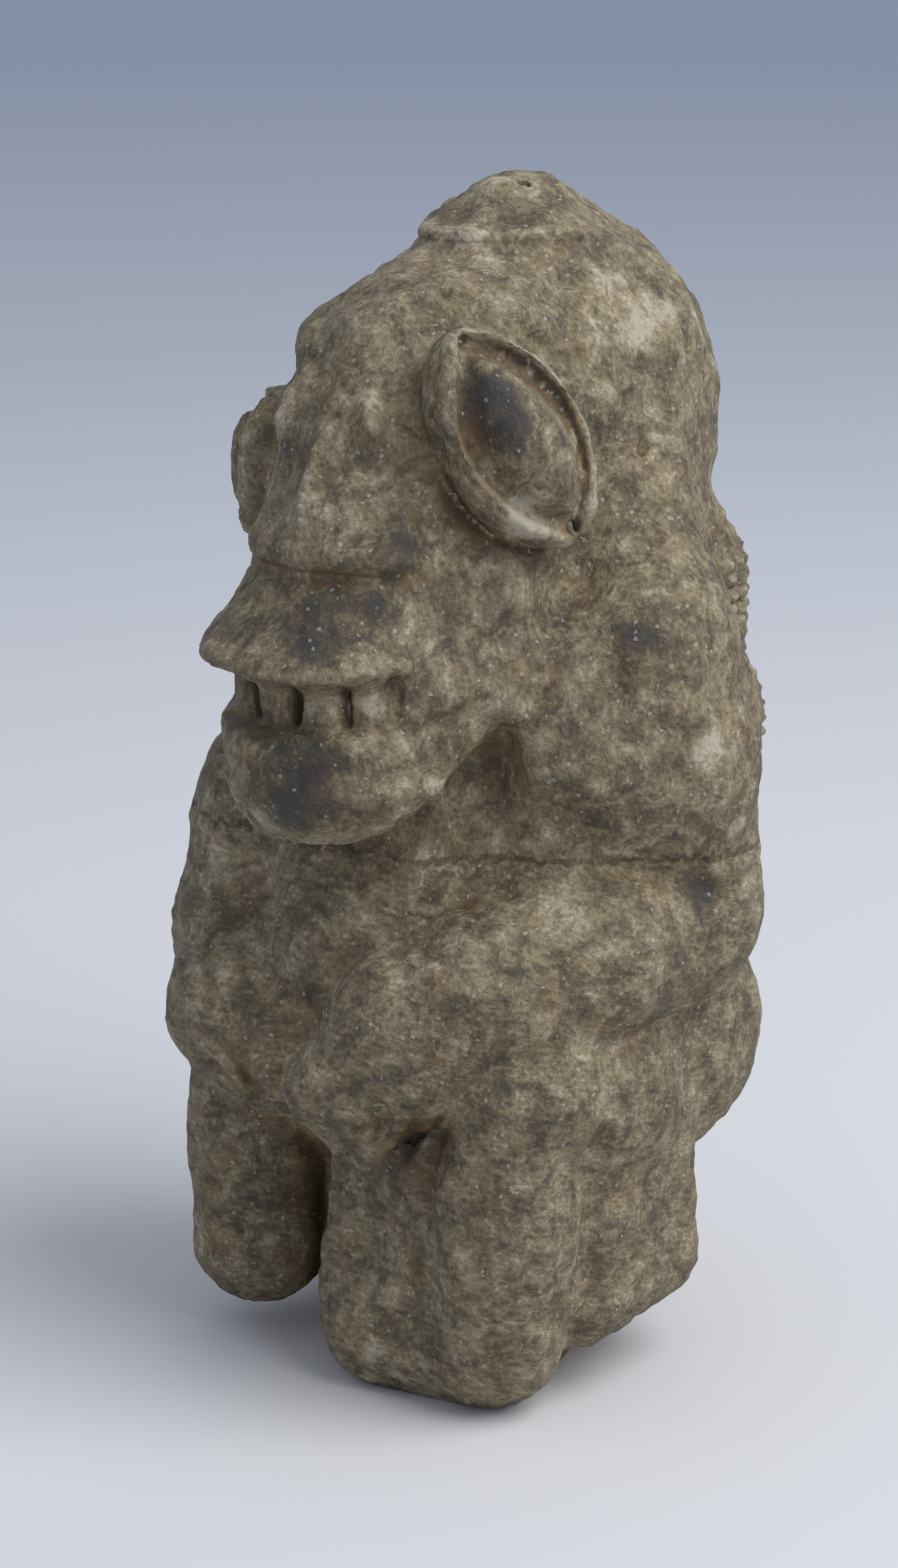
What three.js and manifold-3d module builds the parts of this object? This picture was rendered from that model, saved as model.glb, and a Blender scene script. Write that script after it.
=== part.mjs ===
import * as THREE from "three";
import { mergeVertices } from "three/addons/utils/BufferGeometryUtils.js";
import Module from "manifold-3d";

// Crouching figure carved from one stone. Millimetres, +Z up, face towards -Y, its left side at +X.
// The carving is one field: negative inside the stone, and close to a distance near its surface.
// Each form joins what is listed before it with a fillet of its own blend.

const wasm = await Module();
wasm.setup();

// The middle of the figure's footprint, which becomes the origin
const MIDDLE = { x: 2, y: 3.1 };

// Trunk: chest and back, belly, breast, core, raised panel on the nape, and the two buttocks
const TRUNK = [
  { name: "chest", centre: [0, 12, 96], half: [41, 37, 62], round: 26, blend: 1 },
  { name: "belly", centre: [0, -14, 82], radii: [35, 27, 28], blend: 8 },
  { name: "breast", centre: [0, -6, 112], radii: [32, 24, 26], blend: 8 },
  { name: "core", centre: [1, 10, 40], half: [23, 26, 44], round: 12, blend: 6 },
  { name: "nape panel", centre: [2, 38, 136], half: [33, 17, 26], round: 14, blend: 2 },
  { name: "left buttock", centre: [28, 30, 62], radii: [17, 23, 25], blend: 5 },
  { name: "right buttock", centre: [-26, 30, 62], radii: [17, 23, 25], blend: 5 },
];
const TRUNK_HOLLOWS = [
  { name: "under the chin", centre: [8, -42, 110], radii: [34, 20, 12], turn: [0, -10, 24], blend: 8 },
  { name: "left armpit", centre: [27, -24, 117], radii: [12, 16, 13], turn: [30, 0, -10], blend: 6 },
];

// Limbs: a chain is a list of stations, each x, y, z and radius, with a fillet at its joints
const LIMBS = [
  {
    name: "foot block",
    blend: 4,
    forms: [
      { centre: [7, -8, 32], half: [18, 23, 38], round: 9, blend: 1 },
      { centre: [11, -9, 12], radii: [25, 24, 18], blend: 6 },
    ],
  },
  {
    name: "right leg",
    blend: 4,
    forms: [
      { chain: [[-33, -18, 56, 14], [-33, -20, 38, 11.5], [-32.5, -18, 17, 13]], knuckle: 6, blend: 1 },
      { centre: [-28, 8, 40], half: [15, 20, 33], round: 13, blend: 4 },
    ],
  },
  {
    name: "left leg",
    blend: 3,
    forms: [
      { chain: [[35, -20, 64, 13], [34, -24, 44, 11.5], [30, -22, 15, 11.5]], knuckle: 6, blend: 1 },
      { chain: [[35, -17, 64, 14], [34, 0, 60, 15.5], [31, 14, 50, 14]], knuckle: 4, blend: 5 },
      { centre: [28, 7, 41], half: [15.5, 18, 32], round: 13, turn: [8, 0, 0], blend: 3 },
    ],
  },
  {
    name: "right arm",
    blend: 4,
    forms: [
      { chain: [[-30, -4, 122, 15], [-33, -12, 104, 15], [-36, -16, 84, 15]], knuckle: 6, blend: 1 },
      { chain: [[-36, -17, 78, 15], [-29, -24, 69, 15.5], [-14, -33, 61, 12]], knuckle: 6, blend: 4 },
    ],
  },
  {
    name: "left upper arm",
    blend: 3,
    forms: [
      { centre: [33.5, 6, 136], radii: [14.5, 28, 25], turn: [22, 0, -10], blend: 1 },
      { chain: [[35, 10, 128, 17], [38, 20, 106, 15.5], [39, 20, 90, 16]], knuckle: 6, blend: 8 },
    ],
  },
  {
    name: "left forearm and hand",
    blend: 3,
    forms: [
      {
        chain: [[39, 19, 88, 16], [37, -5, 87, 14.5], [26, -23, 81, 14.5], [14, -33, 71, 13]],
        knuckle: 6,
        blend: 1,
      },
      { centre: [9, -34, 65], radii: [17, 9.5, 19.5], turn: [0, 38, 20], blend: 5 },
    ],
  },
];

// Grooves between the fingers: places across the hand, and the stretch along the fingers
const FINGERS = [
  { centre: [12, -36, 60], turn: [0, 38, 20], gaps: [-5.5, 0.5, 6], from: -26, to: 6 },
  { centre: [-14, -34, 60], turn: [0, -52, -15], gaps: [-4.5, 2], from: -16, to: 14 },
];
const FINGER_GAP = { depth: 2, width: 2, fade: 8, reach: 12 };

// Head
const SKULL = [
  { name: "skull", centre: [0, 24, 180], radii: [32.5, 37.5, 39], blend: 1 },
  { name: "crown", centre: [0, 19, 203], radii: [14, 17, 21], blend: 9 },
  { name: "forehead", centre: [0, -3, 184], radii: [27, 29, 27], blend: 8 },
];
const CHEEKS = [
  { name: "cheeks", centre: [0, -6, 154], radii: [30, 33, 30], blend: 1 },
  { name: "jaw", centre: [0, -14, 136], radii: [28, 31, 27], blend: 4 },
];
const EYE_HOLLOWS = [
  { centre: [19, -38, 184], radii: [5, 9, 16], turn: [0, 10, 20], blend: 5 },
  { centre: [-19, -38, 177], radii: [5, 9, 16], turn: [0, -10, -20], blend: 5 },
];
// The jaw is cut off by a plane that rises towards the ears
const JAW_LINE = { y: -44, z: 109, rise: 0.8, blend: 7 };

// Muzzle: outline at each level, as height, half width and front reach
const MUZZLE = { back: -18, corner: 2.5, middle: 144, halfHeight: 42, edge: 6, overlap: 20, blend: 3 };
const MUZZLE_LEVELS = [
  [102, 8, 24],
  [105, 14, 34],
  [109, 19, 42],
  [115, 22.5, 48],
  [121, 24, 51],
  [131, 23.5, 49.5],
  [142, 23.2, 50],
  [149, 23.2, 48.5],
  [156, 22.5, 45.5],
  [162, 22.5, 44.5],
  [167, 22, 42],
  [180, 20, 34],
];
// Relief down the muzzle, as height and push outwards
const MUZZLE_RELIEF = [
  [124, 0],
  [128.5, 1.4], // lower lip
  [130.5, 0.6],
  [132, -1.8], // teeth
  [139, -0.8],
  [140.5, 0.4],
  [142, 3.8],
  [144, 5], // shelf of the upper lip
  [147.5, 3.2],
  [153, 1],
  [157, -0.8],
  [159.5, -1.8], // crease
  [161.5, 1],
  [164, 2.6], // fold under the nose
  [167, 1.6],
  [170, 0],
];
const MOUTH = { lift: 2.2, halfWidth: 24, widest: 1.2, level: [150, 140] };
const TOOTH_SLOTS = { depth: 2.4, width: 2.6, rise: [131.5, 133.5], fall: [142.5, 140.5], front: [-34, -38] };
const TOOTH_ANGLES = [-34, -13, 8, 27, 44];

// Nose wedge: ridge from root to tip, half width at each, and the slope of its side planes
const NOSE = {
  root: { z: 196, y: -32, half: 11 },
  tip: { z: 168, y: -43, half: 15.5 },
  slope: 0.72,
  back: -16,
  top: 203,
  edge: 4,
};

// Eyes: bulging almond eyes, the right one smaller and set lower
const EYES = [
  { side: 1, centre: [27.6, -16, 183], size: 1 },
  { side: -1, centre: [-27, -17, 173], size: 0.86 },
];
const EYE = { radii: [10, 13.4, 21.5], azimuth: 58, tilt: 30, upward: 0.12, blend: 1.5 };
const ALMOND = { half: 8.6, length: 18.5, shift: 1.5, drop: 0.5 };
const EYE_GROOVE = { depth: 2.2, at: 0.2, width: 2.3 };
const EYE_LID = { height: 1.4, at: 4.4, width: 2.2 };
const EYE_BULGE = { height: 1.6, within: -6 };
const BROW = { across: 17.5, along: 26, drop: 1, near: [22, 14] };
const BROW_RIDGE = { height: 1.3, at: 1.2, width: 0.16, from: 0 };
const BROW_GROOVE = { height: -0.9, at: 0.98, width: 0.11, from: -2 };
const BROW_FULL = 12;

// Hood: its rim runs over the brow and down behind the eyes
const HOOD = { rimY: 20, forward: 24, low: 196, high: 220 };
const HOOD_STEP = { height: 0.9, half: 3 };
const HOOD_RIDGE = { height: 1.1, at: 2, width: 2.8 };
const HOOD_GROOVE = { depth: 0.7, at: 9.5, width: 2.2, above: [170, 190] };

// Facets
const FACETS = 9300;
const FIELD_LOW = [-60, -66, -9];
const FIELD_HIGH = [60, 70, 234];
const CELL = 1.8;
const SKIP = 6;
const SKIP_MARGIN = 1.6;
const RELAX_PASSES = 5;
const RELAX_IN = 0.5;
const RELAX_OUT = -0.53;
const EVENNESS = 2e-4;
const LEAST_AGREEMENT = 0.3;
const LEAST_FACET = 0.02;
const SETTLE = { probe: 0.4, reach: 0.8, flattest: 0.25 };

function smoothUnion(a, b, k) {
  const h = Math.max(k - Math.abs(a - b), 0) / k;
  return Math.min(a, b) - (h * h * k) / 4;
}

function smoothCut(a, b, k) {
  return -smoothUnion(-a, b, k);
}

function ease(from, to, value) {
  const t = Math.min(Math.max((value - from) / (to - from), 0), 1);
  return t * t * (3 - 2 * t);
}

function bell(value) {
  return Math.exp(-value * value);
}

// Height of a table at a level, running straight between its rows
function atLevel(table, height, column) {
  const next = table.findIndex((row) => row[0] > height);
  if (next <= 0) {
    return table[next < 0 ? table.length - 1 : 0][column];
  }
  const [low, high] = [table[next - 1], table[next]];
  const t = (height - low[0]) / (high[0] - low[0]);
  return low[column] + (high[column] - low[column]) * t;
}

function turnMatrix(turn) {
  const order = new THREE.Euler(...turn.map(THREE.MathUtils.degToRad), "ZYX");
  return new THREE.Matrix3().setFromMatrix4(new THREE.Matrix4().makeRotationFromEuler(order)).transpose();
}

function toLocal(form, x, y, z) {
  const dx = x - form.centre[0];
  const dy = y - form.centre[1];
  const dz = z - form.centre[2];
  if (!form.turn) {
    return [dx, dy, dz];
  }
  form.axes ??= turnMatrix(form.turn);
  const e = form.axes.elements;
  return [
    e[0] * dx + e[3] * dy + e[6] * dz,
    e[1] * dx + e[4] * dy + e[7] * dz,
    e[2] * dx + e[5] * dy + e[8] * dz,
  ];
}

function ellipsoid([x, y, z], [a, b, c]) {
  const reach = Math.hypot(x / a, y / b, z / c);
  const slope = Math.hypot(x / (a * a), y / (b * b), z / (c * c)) + 1e-6;
  return (reach * (reach - 1)) / slope;
}

function block(form, point) {
  const q = point.map((v, i) => Math.abs(v) - form.half[i] + form.round);
  const outside = Math.hypot(Math.max(q[0], 0), Math.max(q[1], 0), Math.max(q[2], 0));
  return outside + Math.min(Math.max(...q), 0) - form.round;
}

function limb(a, b, x, y, z) {
  const d = [b[0] - a[0], b[1] - a[1], b[2] - a[2]];
  const p = [x - a[0], y - a[1], z - a[2]];
  const along = (p[0] * d[0] + p[1] * d[1] + p[2] * d[2]) / (d[0] ** 2 + d[1] ** 2 + d[2] ** 2);
  const t = Math.min(Math.max(along, 0), 1);
  return Math.hypot(p[0] - t * d[0], p[1] - t * d[1], p[2] - t * d[2]) - a[3] - (b[3] - a[3]) * t;
}

function chain(form, x, y, z) {
  let d = Infinity;
  for (let i = 1; i < form.chain.length; i++) {
    d = smoothUnion(d, limb(form.chain[i - 1], form.chain[i], x, y, z), form.knuckle);
  }
  return d;
}

function distance(form, x, y, z) {
  if (form.chain) {
    return chain(form, x, y, z);
  }
  const point = toLocal(form, x, y, z);
  return form.radii ? ellipsoid(point, form.radii) : block(form, point);
}

function joined(forms, x, y, z) {
  return forms.reduce((d, form) => smoothUnion(d, distance(form, x, y, z), form.blend), Infinity);
}

function hollowed(d, hollows, x, y, z) {
  return hollows.reduce((left, hollow) => smoothCut(left, distance(hollow, x, y, z), hollow.blend), d);
}

// The mouth turns up towards its corners
function mouthLift(x) {
  return MOUTH.lift * Math.min(Math.abs(x) / MOUTH.halfWidth, MOUTH.widest) ** 2;
}

function toothSlots(x, y, z) {
  const { depth, width, rise, fall, front } = TOOTH_SLOTS;
  const height = z - mouthLift(x);
  const band = ease(...rise, height) * ease(...fall, height) * ease(...front, y);
  if (band === 0) {
    return 0;
  }
  const angle = THREE.MathUtils.radToDeg(Math.atan2(x, MUZZLE.back - y));
  return TOOTH_ANGLES.reduce((sum, slot) => sum + bell((angle - slot) / width), 0) * band * depth;
}

function muzzle(x, y, z) {
  const half = atLevel(MUZZLE_LEVELS, z, 1);
  const reach = atLevel(MUZZLE_LEVELS, z, 2) + MUZZLE.back;
  const front = Math.max(MUZZLE.back - y, 0);
  const sum = Math.abs(x / half) ** MUZZLE.corner + (front / reach) ** MUZZLE.corner;
  let d = (sum ** (1 / MUZZLE.corner) - 1) * Math.min(half, reach);
  const height = z - mouthLift(x) * ease(...MOUTH.level, z);
  const frontOnly = z > 152 ? ease(-29, -39, y) : ease(-34, -43, y);
  d -= atLevel(MUZZLE_RELIEF, height, 1) * frontOnly;
  d = smoothCut(d, MUZZLE.back + MUZZLE.overlap - y, MUZZLE.edge);
  return smoothCut(d, MUZZLE.halfHeight - Math.abs(z - MUZZLE.middle), MUZZLE.edge);
}

// Axes of an eye: out of the face, across the eye and along it, the long axis leaning back
function eyeAxes(side) {
  const azimuth = THREE.MathUtils.degToRad(EYE.azimuth);
  const tilt = THREE.MathUtils.degToRad(EYE.tilt);
  const out = new THREE.Vector3(side * Math.sin(azimuth), -Math.cos(azimuth), EYE.upward).normalize();
  const back = new THREE.Vector3(side * Math.cos(azimuth), Math.sin(azimuth), 0);
  const up = new THREE.Vector3().crossVectors(back, out).multiplyScalar(side);
  const across = back.clone().multiplyScalar(Math.cos(tilt)).addScaledVector(up, Math.sin(tilt));
  const along = up.clone().multiplyScalar(Math.cos(tilt)).addScaledVector(back, -Math.sin(tilt));
  return [out, across, along];
}

for (const eye of EYES) {
  eye.axes = eyeAxes(eye.side);
}

function eyeLocal(eye, x, y, z) {
  const offset = new THREE.Vector3(x - eye.centre[0], y - eye.centre[1], z - eye.centre[2]);
  return eye.axes.map((axis) => offset.dot(axis));
}

// Distance from an almond outline made of two arcs
function almond(across, along) {
  const radius = (ALMOND.length ** 2 + ALMOND.half ** 2) / (2 * ALMOND.half);
  return Math.hypot(Math.abs(across) + radius - ALMOND.half, along) - radius;
}

function eyeball(eye, x, y, z) {
  const point = eyeLocal(eye, x, y, z).map((v) => v / eye.size);
  const rim = almond(point[1] - ALMOND.shift, point[2] + ALMOND.drop);
  let d = ellipsoid(point, EYE.radii);
  d += EYE_GROOVE.depth * bell((rim - EYE_GROOVE.at) / EYE_GROOVE.width);
  d -= EYE_LID.height * bell((rim - EYE_LID.at) / EYE_LID.width);
  d -= EYE_BULGE.height * ease(0, EYE_BULGE.within, rim);
  return d * eye.size;
}

function browRelief(eye, x, y, z) {
  const point = eyeLocal(eye, x, y, z);
  const ring = Math.hypot(point[1] / BROW.across, (point[2] + BROW.drop) / BROW.along);
  const raised = [BROW_RIDGE, BROW_GROOVE].reduce((sum, line) => {
    return sum + line.height * bell((ring - line.at) / line.width) * ease(line.from, BROW_FULL, point[2]);
  }, 0);
  return raised * ease(...BROW.near, Math.abs(point[0]));
}

function nose(x, y, z) {
  const { root, tip } = NOSE;
  const t = (root.z - z) / (root.z - tip.z);
  const ridge = root.y + (tip.y - root.y) * t;
  const half = root.half + (tip.half - root.half) * Math.min(Math.max(t, 0), 1.1);
  let d = (ridge + Math.abs(x) * NOSE.slope - y) / Math.hypot(1, NOSE.slope);
  d = smoothCut(d, half - Math.abs(x), NOSE.edge);
  d = smoothCut(d, z - tip.z + 0.5 + (y - tip.y) * 0.1, NOSE.edge);
  d = smoothCut(d, NOSE.back - y, NOSE.edge / 2);
  return smoothCut(d, NOSE.top - z, NOSE.edge);
}

function hoodRelief(y, z) {
  const rim = y - HOOD.rimY + HOOD.forward * ease(HOOD.low, HOOD.high, z);
  const step = HOOD_STEP.height * ease(-HOOD_STEP.half, HOOD_STEP.half, rim);
  const ridge = HOOD_RIDGE.height * bell((rim - HOOD_RIDGE.at) / HOOD_RIDGE.width);
  const groove = HOOD_GROOVE.depth * bell((rim - HOOD_GROOVE.at) / HOOD_GROOVE.width);
  return step + ridge - groove * ease(...HOOD_GROOVE.above, z);
}

function head(x, y, z) {
  let face = smoothUnion(joined(CHEEKS, x, y, z), muzzle(x, y, z), MUZZLE.blend) + toothSlots(x, y, z);
  const jawLine = (z - JAW_LINE.z - (y - JAW_LINE.y) * JAW_LINE.rise) / Math.hypot(1, JAW_LINE.rise);
  face = smoothCut(face, jawLine, JAW_LINE.blend);
  let d = smoothUnion(joined(SKULL, x, y, z), face, 6);
  d = hollowed(d, EYE_HOLLOWS, x, y, z);
  for (const eye of EYES) {
    d -= browRelief(eye, x, y, z);
  }
  d = smoothUnion(d, nose(x, y, z), NOSE.edge);
  for (const eye of EYES) {
    d = smoothUnion(d, eyeball(eye, x, y, z), EYE.blend);
  }
  return d - hoodRelief(y, z);
}

function fingerGaps(hand, x, y, z) {
  const { depth, width, fade, reach } = FINGER_GAP;
  const [across, deep, along] = toLocal(hand, x, y, z);
  const ends = ease(hand.from, hand.from + fade, along) * ease(hand.to, hand.to - fade, along);
  const span = ends * ease(reach, reach - fade / 2, Math.abs(deep));
  return span && hand.gaps.reduce((sum, gap) => sum + bell((across - gap) / width), 0) * depth * span;
}

function figure(x, y, z) {
  let d = hollowed(joined(TRUNK, x, y, z), TRUNK_HOLLOWS, x, y, z);
  for (const part of LIMBS) {
    d = smoothUnion(d, joined(part.forms, x, y, z), part.blend);
  }
  for (const hand of FINGERS) {
    d += fingerGaps(hand, x, y, z);
  }
  return smoothUnion(d, head(x, y, z), 2.5);
}

// Six tetrahedra round the main diagonal of each grid cell, corners numbered by their x, y, z bits
const TETRAHEDRA = [
  [0, 1, 3, 7],
  [0, 3, 2, 7],
  [0, 2, 6, 7],
  [0, 6, 4, 7],
  [0, 4, 5, 7],
  [0, 5, 1, 7],
];

// Values of the field at the grid's points. A block of cells well away from the surface takes the
// value at its middle.
function sample(field, count) {
  const values = new Float32Array(count[0] * count[1] * count[2]);
  const far = SKIP_MARGIN * SKIP * CELL;
  const at = (i, j, k) => field(FIELD_LOW[0] + i * CELL, FIELD_LOW[1] + j * CELL, FIELD_LOW[2] + k * CELL);
  const fill = (i, j, k, coarse) => {
    for (let c = k; c < Math.min(k + SKIP, count[2]); c++) {
      for (let b = j; b < Math.min(j + SKIP, count[1]); b++) {
        for (let a = i; a < Math.min(i + SKIP, count[0]); a++) {
          values[a + count[0] * (b + count[1] * c)] = (Math.abs(coarse) > far ? coarse : at(a, b, c)) || 1e-5;
        }
      }
    }
  };
  for (let k = 0; k < count[2]; k += SKIP) {
    for (let j = 0; j < count[1]; j += SKIP) {
      for (let i = 0; i < count[0]; i += SKIP) {
        const middle = (SKIP - 1) / 2;
        fill(i, j, k, at(i + middle, j + middle, k + middle));
      }
    }
  }
  return values;
}

// Triangles where the field passes through zero, from the tetrahedra of each grid cell
function polygonise(field) {
  const count = FIELD_LOW.map((v, i) => Math.ceil((FIELD_HIGH[i] - v) / CELL) + 1);
  const values = sample(field, count);
  const points = [];
  const triangles = [];
  const seen = new Map();
  const corner = (n) => [
    FIELD_LOW[0] + (n % count[0]) * CELL,
    FIELD_LOW[1] + (Math.floor(n / count[0]) % count[1]) * CELL,
    FIELD_LOW[2] + Math.floor(n / (count[0] * count[1])) * CELL,
  ];
  const crossing = (a, b) => {
    const key = Math.min(a, b) * values.length + Math.max(a, b);
    if (!seen.has(key)) {
      const [p, q] = [corner(a), corner(b)];
      const t = Math.min(Math.max(values[a] / (values[a] - values[b]), 0.03), 0.97);
      seen.set(key, points.length);
      points.push(p.map((v, i) => v + (q[i] - v) * t));
    }
    return seen.get(key);
  };
  const cut = (within, beyond) => {
    const [a, b] = within;
    const [c, d] = beyond;
    if (within.length === 1) {
      pushFacing(triangles, points, beyond.map((id) => crossing(a, id)), corner(a), 1);
    } else if (beyond.length === 1) {
      pushFacing(triangles, points, within.map((id) => crossing(id, c)), corner(c), -1);
    } else {
      const quad = [crossing(a, c), crossing(a, d), crossing(b, d), crossing(b, c)];
      pushFacing(triangles, points, [quad[0], quad[1], quad[2]], corner(a), 1);
      pushFacing(triangles, points, [quad[0], quad[2], quad[3]], corner(a), 1);
    }
  };
  for (let k = 0; k < count[2] - 1; k++) {
    for (let j = 0; j < count[1] - 1; j++) {
      for (let i = 0; i < count[0] - 1; i++) {
        const corners = [];
        for (let bit = 0; bit < 8; bit++) {
          corners.push(i + (bit & 1) + count[0] * (j + ((bit >> 1) & 1) + count[1] * (k + (bit >> 2))));
        }
        const inside = corners.filter((n) => values[n] < 0).length;
        if (inside === 0 || inside === 8) {
          continue;
        }
        for (const tetra of TETRAHEDRA) {
          const ids = tetra.map((c) => corners[c]);
          const within = ids.filter((id) => values[id] < 0);
          const beyond = ids.filter((id) => values[id] >= 0);
          if (within.length && beyond.length) {
            cut(within, beyond);
          }
        }
      }
    }
  }
  return { points, triangles };
}

function facetNormal(p, q, r) {
  const u = [q[0] - p[0], q[1] - p[1], q[2] - p[2]];
  const w = [r[0] - p[0], r[1] - p[1], r[2] - p[2]];
  return [u[1] * w[2] - u[2] * w[1], u[2] * w[0] - u[0] * w[2], u[0] * w[1] - u[1] * w[0]];
}

// Adds a triangle that faces away from a point inside the stone, or towards one outside it
function pushFacing(triangles, points, [a, b, c], from, sign) {
  const n = facetNormal(points[a], points[b], points[c]);
  const side = n.reduce((sum, v, i) => sum + v * (points[a][i] - from[i]), 0) * sign;
  triangles.push(side >= 0 ? [a, b, c] : [a, c, b]);
}

// Only the outer skin is kept: the largest set of triangles that share points
function largestShell({ points, triangles }) {
  const leader = Int32Array.from(points, (_, i) => i);
  const find = (v) => {
    while (leader[v] !== v) {
      leader[v] = leader[leader[v]];
      v = leader[v];
    }
    return v;
  };
  for (const [a, b, c] of triangles) {
    leader[find(a)] = find(b);
    leader[find(b)] = find(c);
  }
  const tally = new Map();
  for (const [a] of triangles) {
    tally.set(find(a), (tally.get(find(a)) ?? 0) + 1);
  }
  const most = [...tally].sort((a, b) => b[1] - a[1])[0][0];
  return { points, triangles: triangles.filter(([a]) => find(a) === most) };
}

// Each pass moves every point towards its neighbours' middle, then a little more back again
function relax({ points, triangles }) {
  const sum = new Float64Array(points.length * 3);
  const count = new Uint16Array(points.length);
  for (let pass = 0; pass < 2 * RELAX_PASSES; pass++) {
    const share = pass % 2 ? RELAX_OUT : RELAX_IN;
    sum.fill(0);
    count.fill(0);
    for (const face of triangles) {
      for (let corner = 0; corner < 3; corner++) {
        const [v, next] = [face[corner], face[(corner + 1) % 3]];
        count[v] += 1;
        for (let axis = 0; axis < 3; axis++) {
          sum[3 * v + axis] += points[next][axis];
        }
      }
    }
    points.forEach((point, v) => {
      for (let axis = 0; axis < 3 && count[v]; axis++) {
        point[axis] += share * (sum[3 * v + axis] / count[v] - point[axis]);
      }
    });
  }
}

// Edges waiting to be folded away, cheapest first
class Queue {
  constructor() {
    this.items = [];
  }

  push(item) {
    const list = this.items;
    let i = list.length;
    list.push(item);
    while (i > 0) {
      const parent = (i - 1) >> 1;
      if (list[parent].cost <= item.cost) {
        break;
      }
      list[i] = list[parent];
      i = parent;
    }
    list[i] = item;
  }

  pop() {
    const list = this.items;
    const top = list[0];
    const last = list.pop();
    if (list.length) {
      let i = 0;
      while (2 * i + 1 < list.length) {
        let child = 2 * i + 1;
        if (child + 1 < list.length && list[child + 1].cost < list[child].cost) {
          child += 1;
        }
        if (list[child].cost >= last.cost) {
          break;
        }
        list[i] = list[child];
        i = child;
      }
      list[i] = last;
    }
    return top;
  }
}

// Squared distance to the planes round a point: a symmetric matrix kept as ten sums
function addPlane(sums, n, offset, weight) {
  const plane = [...n, offset];
  let slot = 0;
  for (let row = 0; row < 4; row++) {
    for (let column = row; column < 4; column++) {
      sums[slot] += plane[row] * plane[column] * weight;
      slot += 1;
    }
  }
}

function planeError(q, [x, y, z]) {
  const squares = q[0] * x * x + q[4] * y * y + q[7] * z * z;
  const products = 2 * (q[1] * x * y + q[2] * x * z + q[5] * y * z);
  return squares + products + 2 * (q[3] * x + q[6] * y + q[8] * z) + q[9];
}

// The point nearest to all the planes round an edge, or the edge's middle where they leave it free
function bestPoint(q, a, b) {
  const middle = a.map((v, i) => (v + b[i]) / 2);
  const matrix = new THREE.Matrix3(q[0], q[1], q[2], q[1], q[4], q[5], q[2], q[5], q[7]);
  if (Math.abs(matrix.determinant()) < 1e-4 * (q[0] + q[4] + q[7]) ** 3) {
    return middle;
  }
  const found = new THREE.Vector3(-q[3], -q[6], -q[8]).applyMatrix3(matrix.invert()).toArray();
  return gap(found, middle) > 2 * gap(a, b) ? middle : found;
}

function gap(a, b) {
  return Math.hypot(a[0] - b[0], a[1] - b[1], a[2] - b[2]);
}

// Folds away the edges that change the shape least, until the wanted number of facets is left
function simplify({ points, triangles }) {
  const faces = triangles.map((face) => [...face]);
  const around = points.map(() => new Set());
  const sums = points.map(() => new Float64Array(10));
  const stamp = new Int32Array(points.length);
  const queue = new Queue();
  faces.forEach((face, index) => {
    const normal = facetNormal(...face.map((v) => points[v]));
    const area = Math.hypot(...normal) + 1e-12;
    const unit = normal.map((v) => v / area);
    const offset = -unit.reduce((sum, v, i) => sum + v * points[face[0]][i], 0);
    for (const v of face) {
      around[v].add(index);
      addPlane(sums[v], unit, offset, area);
    }
  });
  const offer = (a, b) => {
    const q = sums[a].map((v, i) => v + sums[b][i]);
    const point = bestPoint(q, points[a], points[b]);
    const cost = planeError(q, point) + EVENNESS * gap(points[a], points[b]) ** 4;
    queue.push({ cost, a, b, point, stamp: stamp[a] + stamp[b] });
  };
  const neighbours = (v) => {
    const found = new Set([...around[v]].flatMap((index) => faces[index]));
    found.delete(v);
    return found;
  };
  const keepsFacing = (v, partner, point) => [...around[v]].every((index) => {
    const face = faces[index];
    if (face.includes(partner)) {
      return true;
    }
    const before = facetNormal(...face.map((w) => points[w]));
    const after = facetNormal(...face.map((w) => (w === v ? point : points[w])));
    const agree = before[0] * after[0] + before[1] * after[1] + before[2] * after[2];
    const size = Math.hypot(...after);
    return size > LEAST_FACET && agree > LEAST_AGREEMENT * Math.hypot(...before) * size;
  });
  for (const [a, b, c] of faces) {
    for (const [u, v] of [[a, b], [b, c], [c, a]]) {
      if (u < v) {
        offer(u, v);
      }
    }
  }
  let remaining = faces.length;
  while (remaining > FACETS && queue.items.length) {
    const { a, b, point, stamp: offered } = queue.pop();
    if (stamp[a] < 0 || stamp[b] < 0 || offered !== stamp[a] + stamp[b]) {
      continue;
    }
    const near = neighbours(a);
    const shared = [...neighbours(b)].filter((v) => near.has(v));
    if (shared.length !== 2 || !keepsFacing(a, b, point) || !keepsFacing(b, a, point)) {
      continue;
    }
    points[a] = point;
    sums[b].forEach((v, i) => {
      sums[a][i] += v;
    });
    for (const index of [...around[b]]) {
      const face = faces[index];
      if (face.includes(a)) {
        face.forEach((v) => around[v].delete(index));
        faces[index] = null;
        remaining -= 1;
      } else {
        faces[index] = face.map((v) => (v === b ? a : v));
        around[a].add(index);
      }
    }
    around[b].clear();
    stamp[b] = -1;
    stamp[a] += 1;
    for (const v of neighbours(a)) {
      offer(a, v);
    }
  }
  return { points, triangles: faces.filter(Boolean) };
}

// Moves a point onto the field's zero level along its slope
function settle(field, point) {
  const slope = [0, 1, 2].map((axis) => {
    const [ahead, behind] = [1, -1].map((sign) => {
      return field(...point.map((v, i) => (i === axis ? v + sign * SETTLE.probe : v)));
    });
    return (ahead - behind) / (2 * SETTLE.probe);
  });
  const steep = Math.max(slope[0] ** 2 + slope[1] ** 2 + slope[2] ** 2, SETTLE.flattest);
  const move = THREE.MathUtils.clamp(field(...point), -SETTLE.reach, SETTLE.reach) / steep;
  return point.map((v, i) => v - slope[i] * move);
}

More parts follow.
